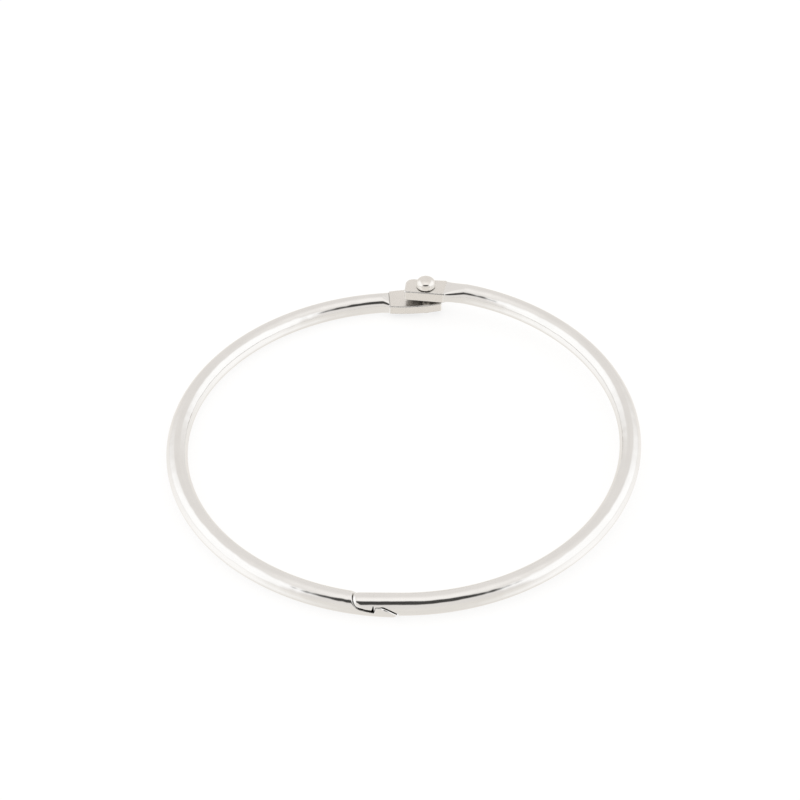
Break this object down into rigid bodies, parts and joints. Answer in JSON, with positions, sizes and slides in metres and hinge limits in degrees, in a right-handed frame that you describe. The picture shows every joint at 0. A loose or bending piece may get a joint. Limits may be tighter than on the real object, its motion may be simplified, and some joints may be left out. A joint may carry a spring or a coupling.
{
  "type": "binder ring",
  "caption": "Hinged loose-leaf binder ring of nickel-plated round wire: flat tabs turn on a domed rivet, and a nose hooks over a toothed tongue to close the ring round punched sheets.",
  "frame": {"origin": "centre of the ring's opening, at the level of the surface that the ring lies on", "axes": "+Z along the ring's axis, up from the surface; +Y from the centre towards the hinge, with the latch at -Y; +X towards the half that opens"},
  "size_m": [0.0836, 0.0847, 0.0078],
  "materials": {
    "wire": "bright nickel plate on steel wire, slightly duller on the stamped tabs",
    "rivet": "bright nickel plate"
  },
  "bodies": {
    "left_half": {"left_half_ring": "wire", "rivet": "rivet"},
    "right_half": {"right_half_ring": "wire"}
  },
  "joints": [
    {"name": "ring_hinge", "type": "hinge", "parent": "left_half", "child": "right_half", "pos_m": [0.00457, 0.03953, 0], "axis": [0, 0, 1], "range_deg": [0, 120]}
  ]
}
